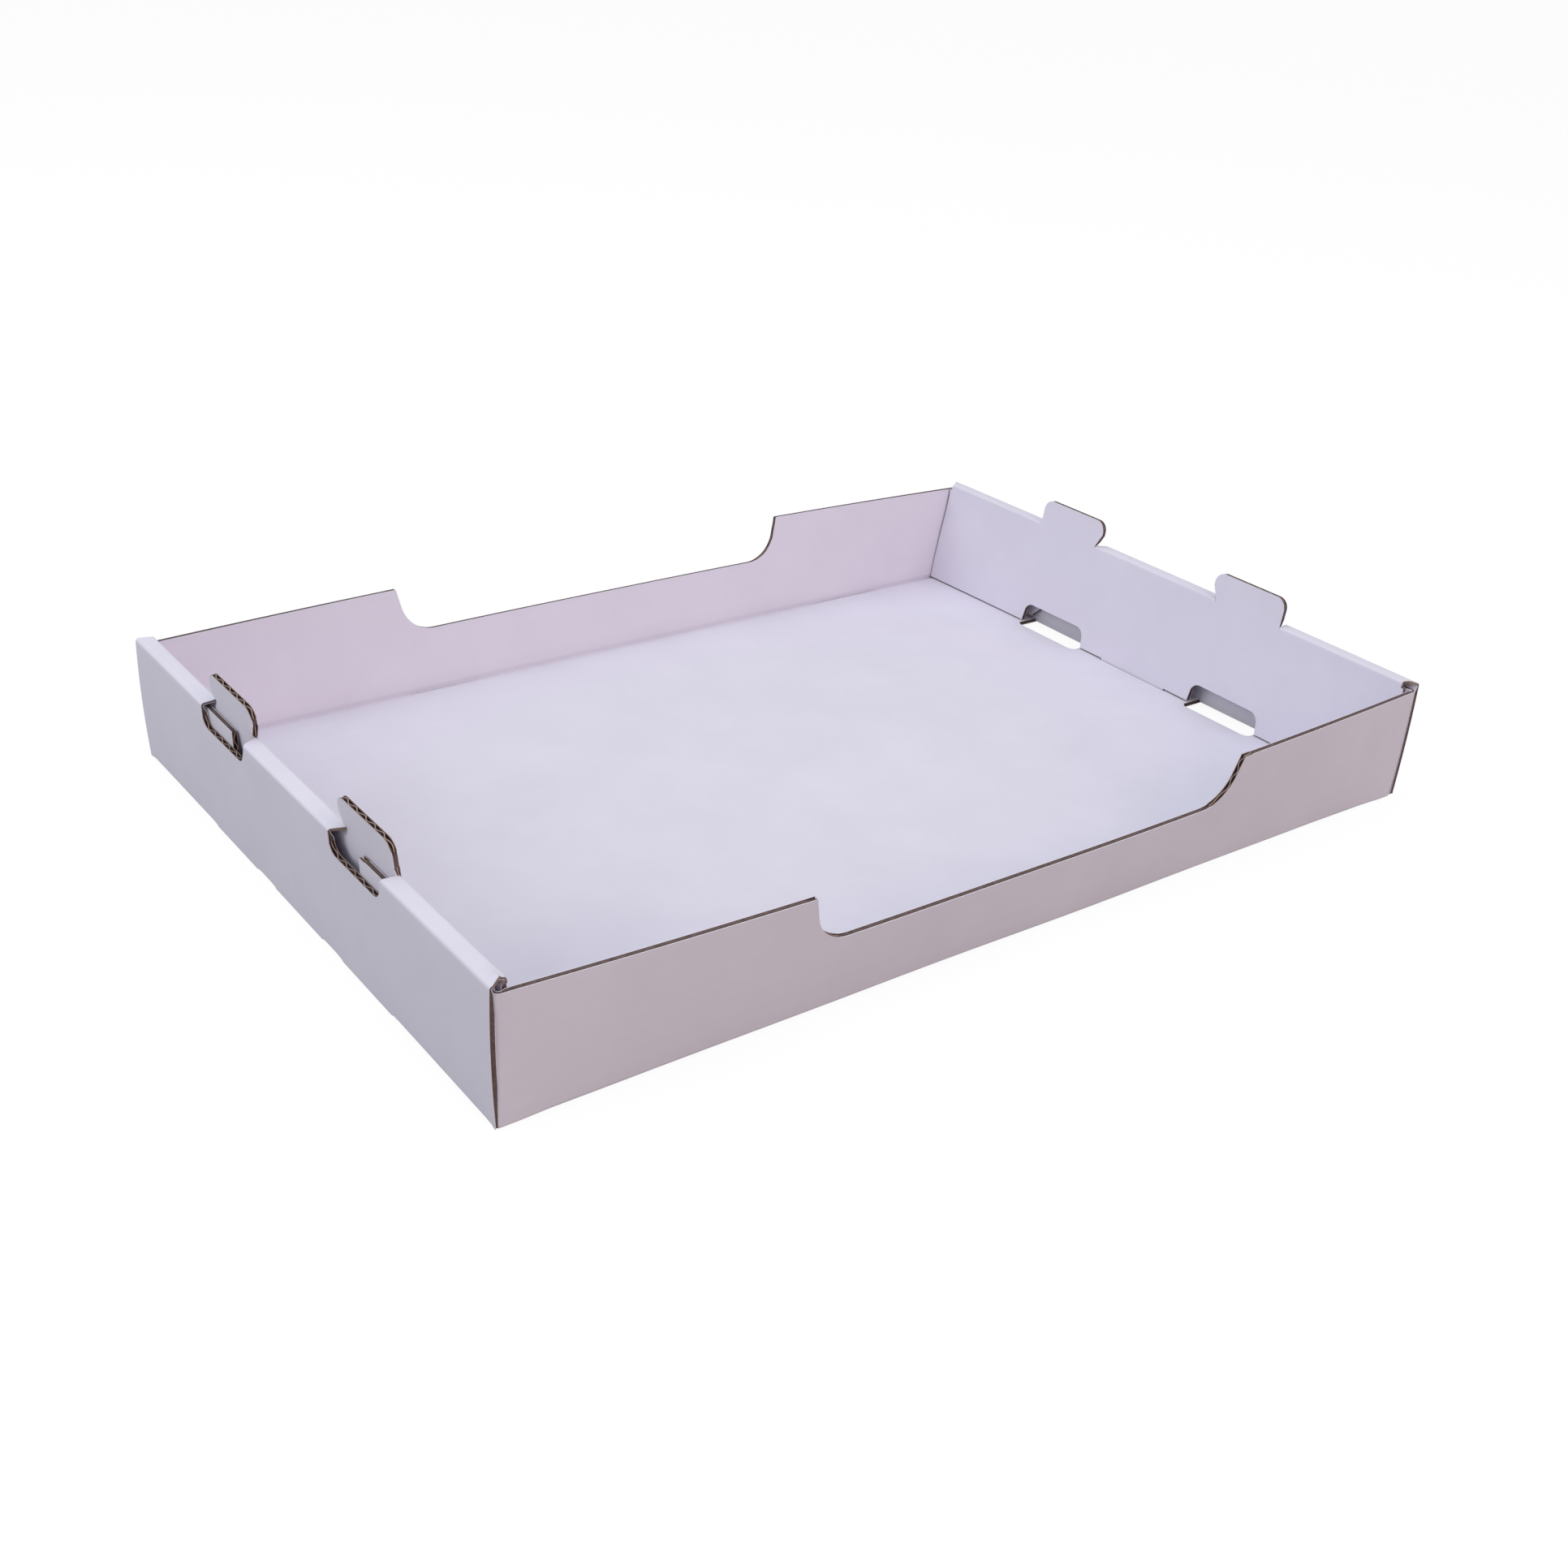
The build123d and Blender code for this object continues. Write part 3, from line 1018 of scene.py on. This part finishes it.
def kraft(name, dark, light):
    """Brown paper of the fluting, seen only at the cut edges; the darker tones given for the hollows hold
    painted shade.
    """
    material, tree, shader = new_material(name, 0.85, 0.15)
    speckle = node(tree, "ShaderNodeTexNoise", Scale=900.0, Detail=4.0, Roughness=0.65)
    mottle(tree, shader, speckle, dark, light)
    rough = node(tree, "ShaderNodeBump", Strength=0.6, Distance=0.08 * MM)
    tree.links.new(speckle.outputs["Fac"], rough.inputs["Height"])
    tree.links.new(rough.outputs["Normal"], shader.inputs["Normal"])
    return material


def add_tray():
    """The folded sheet, dressed, in place of the plain solid."""
    sheet = Sheet()
    add_floor_and_ends(sheet)
    for sign in (1, -1):
        add_inner_panel(sheet, sign)
        add_long_wall(sheet, sign)
    materials = [
        board_paper(),
        # The core's tones are kraft brown darkened by painted shade of the flute hollows
        kraft("core_with_painted_shade", (0.085, 0.062, 0.058), (0.170, 0.125, 0.115)),
        kraft("cut", (0.240, 0.175, 0.150), (0.390, 0.295, 0.250)),
    ]
    piece = sheet.build("tray_sheet", materials)
    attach(piece, "root")
    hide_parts("tray")


def add_camera():
    """The view from beyond the near left corner and above it."""
    data = bpy.data.cameras.new("camera")
    data.sensor_width = 36.0
    data.lens = camera_lens
    data.clip_start = 0.01
    camera = bpy.data.objects.new("camera", data)
    bpy.context.collection.objects.link(camera)
    heading = math.radians(camera_heading)
    pitch = math.radians(camera_pitch)
    roll = math.radians(camera_roll)
    x, y, z = camera_place
    place_at = Matrix.Translation(Vector((x + frame_shift, y, z)) * MM)
    turn = Matrix.Rotation(heading, 4, "Z") @ Matrix.Rotation(math.pi / 2 + pitch, 4, "X")
    camera.matrix_world = place_at @ turn @ Matrix.Rotation(roll, 4, "Z")
    bpy.context.scene.camera = camera


def seen_ray(tree):
    """One for what the camera sees, straight or in a gloss or glass, and nothing for the light."""
    path = node(tree, "ShaderNodeLightPath")
    either = node(tree, "ShaderNodeMath", operation="MAXIMUM")
    tree.links.new(path.outputs["Is Camera Ray"], either.inputs[0])
    tree.links.new(path.outputs["Is Glossy Ray"], either.inputs[1])
    any_ray = node(tree, "ShaderNodeMath", operation="MAXIMUM")
    tree.links.new(either.outputs[0], any_ray.inputs[0])
    tree.links.new(path.outputs["Is Transmission Ray"], any_ray.inputs[1])
    return any_ray.outputs[0]


def add_floor():
    """A pale floor that shows white to the camera and still takes the tray's shadow."""
    size = 6.0
    drop = 0.2
    white_share = 0.9
    corners = [(-size, -size, 0), (size, -size, 0), (size, size, 0), (-size, size, 0)]
    mesh = bpy.data.meshes.new("floor")
    mesh.from_pydata(corners, [], [(0, 1, 2, 3)])
    floor = bpy.data.objects.new("floor", mesh)
    bpy.context.collection.objects.link(floor)
    material, tree, shader = new_material("floor", 0.9, 0.5)
    tone = node(tree, "ShaderNodeMixRGB", Color1=(0.25, 0.25, 0.25, 1), Color2=(0.88, 0.88, 0.88, 1))
    seen = seen_ray(tree)
    tree.links.new(seen, tone.inputs["Fac"])
    tree.links.new(tone.outputs["Color"], shader.inputs["Base Color"])
    white = node(tree, "ShaderNodeEmission", Strength=1.03)
    share = node(tree, "ShaderNodeMath", operation="MULTIPLY")
    share.inputs[1].default_value = white_share
    tree.links.new(seen, share.inputs[0])
    mix = node(tree, "ShaderNodeMixShader")
    tree.links.new(share.outputs[0], mix.inputs["Fac"])
    tree.links.new(shader.outputs[0], mix.inputs[1])
    tree.links.new(white.outputs[0], mix.inputs[2])
    tree.links.new(mix.outputs[0], tree.nodes["Material Output"].inputs["Surface"])
    mesh.materials.append(material)
    floor.location.z = -drop * MM


def add_light(name, place_at, target, size, power, colour):
    """One soft square lamp aimed at a point."""
    data = bpy.data.lights.new(name, "AREA")
    data.shape = "SQUARE"
    data.size = size
    data.energy = power
    data.color = colour
    lamp = bpy.data.objects.new(name, data)
    lamp.location = place_at
    lamp.rotation_euler = (Vector(target) - Vector(place_at)).to_track_quat("-Z", "Y").to_euler()
    bpy.context.collection.objects.link(lamp)


def add_world():
    """Even studio light from all round, white behind the floor's edge."""
    world = bpy.data.worlds.new("world")
    bpy.context.scene.world = world
    world.use_nodes = True
    tree = world.node_tree
    tree.nodes["Background"].inputs["Color"].default_value = (1, 1, 1, 1)
    tree.nodes["Background"].inputs["Strength"].default_value = 0.5
    seen = node(tree, "ShaderNodeBackground")
    seen.inputs["Color"].default_value = (1, 1, 1, 1)
    seen.inputs["Strength"].default_value = 1.0
    mix = node(tree, "ShaderNodeMixShader")
    tree.links.new(seen_ray(tree), mix.inputs["Fac"])
    tree.links.new(tree.nodes["Background"].outputs[0], mix.inputs[1])
    tree.links.new(seen.outputs[0], mix.inputs[2])
    tree.links.new(mix.outputs[0], tree.nodes["World Output"].inputs["Surface"])


add_tray()
add_camera()
add_floor()
add_world()
add_light("top", (0.1, 0.1, 1.6), (0, 0, 0), 1.6, 9, (0.86, 1.0, 1.1))
add_light("front", (0.0, -1.75, 1.0), (0, 0, 0), 1.2, 13.5, (1.0, 0.76, 0.69))
add_light("left", (-1.7, 0.5, 1.0), (0, 0, 0), 1.2, 12, (0.92, 0.96, 1.0))

bpy.context.scene.view_settings.view_transform = "Standard"
